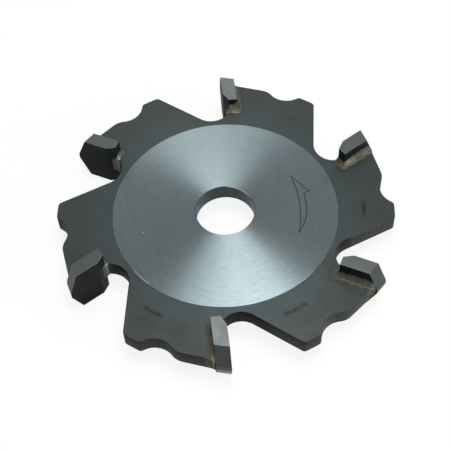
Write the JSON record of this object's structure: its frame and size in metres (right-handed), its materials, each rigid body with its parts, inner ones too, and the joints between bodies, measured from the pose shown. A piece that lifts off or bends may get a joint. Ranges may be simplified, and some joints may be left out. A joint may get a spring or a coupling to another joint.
{
  "type": "grooving saw blade",
  "caption": "Toothed steel disc with a central arbor bore and wide carbide tips ground to a V, brazed into pockets of its rim, for cutting V-grooves in sheet.",
  "frame": {"origin": "on the bore axis, in the middle plane of the plate", "axes": "+Z along the bore axis, out of the face from which the blade cuts anticlockwise; +Y through the cutting apex of the first tooth"},
  "size_m": [0.1142, 0.118, 0.018],
  "materials": {
    "plate_steel": "dark fine-blasted plate with a circularly ground bright clamping land",
    "ground_carbide": "fine diamond-ground tungsten carbide, satin grey",
    "braze_alloy": "dull olive grey cast braze bead"
  },
  "bodies": {
    "root": {"blade_body": "plate_steel", "carbide_tip_1": "ground_carbide", "carbide_tip_2": "ground_carbide", "carbide_tip_3": "ground_carbide", "carbide_tip_4": "ground_carbide", "carbide_tip_5": "ground_carbide", "carbide_tip_6": "ground_carbide", "braze_joint_1": "braze_alloy", "braze_joint_2": "braze_alloy", "braze_joint_3": "braze_alloy", "braze_joint_4": "braze_alloy", "braze_joint_5": "braze_alloy", "braze_joint_6": "braze_alloy"}
  },
  "joints": []
}
